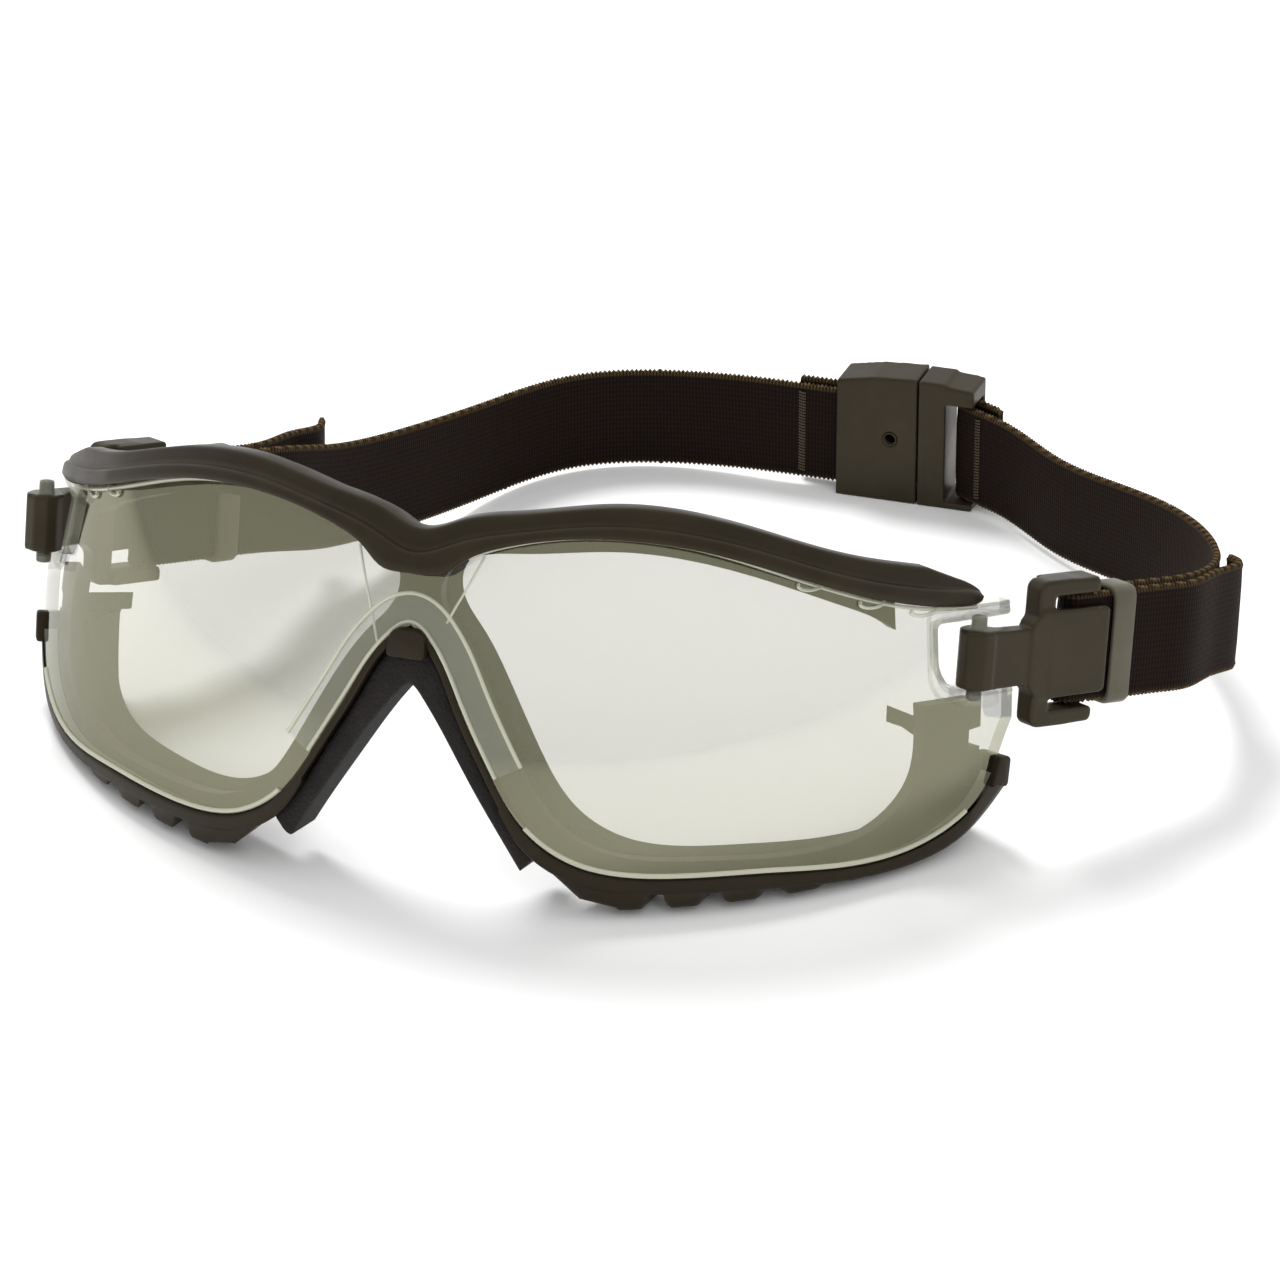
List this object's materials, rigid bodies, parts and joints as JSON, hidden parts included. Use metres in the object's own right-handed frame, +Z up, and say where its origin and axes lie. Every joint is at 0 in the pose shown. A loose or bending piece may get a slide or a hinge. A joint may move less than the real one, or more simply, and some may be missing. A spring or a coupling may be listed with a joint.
{
  "type": "protective strap goggles",
  "caption": "Wraparound protective goggles with a pale mirrored lens, brow bar, foam-lined carriage, and an elastic strap on hinged clips with a side-release buckle.",
  "frame": {"origin": "bottom centre of the whole object's box, on the table it stands on", "axes": "+Z up, the lens faces -Y, +X to the right as the front is looked at from outside"},
  "size_m": [0.1963, 0.179, 0.0634],
  "materials": {
    "lens": "clear polycarbonate with a pale silver-olive mirror coat",
    "brow": "soft dark olive-brown moulding, satin",
    "carriage": "fine-grained dark moulding",
    "foam": "closed-cell foam",
    "clip": "satin moulded nylon",
    "keeper": "lighter olive-grey moulding",
    "webbing": "ribbed woven elastic with a picot edge",
    "thread": "bar-tack stitching",
    "buckle": "satin moulded nylon"
  },
  "bodies": {
    "front": {"lens": "lens", "brow_bar": "brow", "carriage": "carriage", "face_foam_left": "foam", "face_foam_right": "foam", "nose_foam": "foam", "strap_left": "webbing", "strap_right": "webbing", "seam_left": "thread", "buckle_housing": "buckle"},
    "left_clip": {"clip_left": "clip"},
    "right_clip": {"clip_right": "clip"},
    "left_keeper": {"keeper_left": "keeper"},
    "right_keeper": {"keeper_right": "keeper"},
    "tongue": {"buckle_tongue": "buckle", "seam_right": "thread"}
  },
  "joints": [
    {"name": "clip_left_hinge", "type": "hinge", "parent": "front", "child": "left_clip", "pos_m": [-0.09243, -0.04297, 0.03343], "axis": [0, 0.2079, 0.9781], "range_deg": [-9, 76], "deforming": ["strap_left"]},
    {"name": "clip_right_hinge", "type": "hinge", "parent": "front", "child": "right_clip", "pos_m": [0.06736, -0.04297, 0.03343], "axis": [0, 0.2079, 0.9781], "range_deg": [-10, 75], "deforming": ["strap_right"]},
    {"name": "keeper_left_slide", "type": "slide", "parent": "left_clip", "child": "left_keeper", "axis": [0.515, 0.8384, -0.1782], "range_m": [-0.0065, 0.0045]},
    {"name": "keeper_right_slide", "type": "slide", "parent": "right_clip", "child": "right_keeper", "axis": [0.5736, 0.8013, -0.1703], "range_m": [0, 0.011]},
    {"name": "buckle_release", "type": "slide", "parent": "front", "child": "tongue", "axis": [1, 0, 0], "range_m": [0, 0.02], "deforming": ["strap_right"]}
  ]
}
